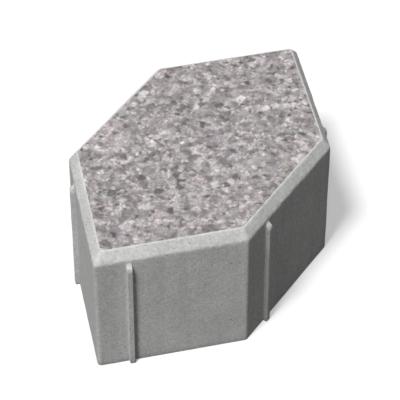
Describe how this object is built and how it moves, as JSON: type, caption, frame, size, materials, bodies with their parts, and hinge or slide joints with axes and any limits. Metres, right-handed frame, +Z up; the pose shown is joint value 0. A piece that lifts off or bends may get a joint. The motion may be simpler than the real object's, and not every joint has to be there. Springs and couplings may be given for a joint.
{
  "type": "concrete paver",
  "caption": "Elongated hexagonal concrete paving stone with near-square tips, chamfered rim and spacer nibs; laid in rows to surface paths and yards.",
  "frame": {"origin": "middle of the underside, where the stone rests on its bed", "axes": "+X across the width, +Y along the length from tip to tip, +Z up through the wearing face"},
  "size_m": [0.1146, 0.1932, 0.08],
  "materials": {
    "concrete": "fine granite-like aggregate on the wearing face, plain smooth grey concrete on the sides"
  },
  "bodies": {
    "root": {"paver": "concrete"}
  },
  "joints": []
}
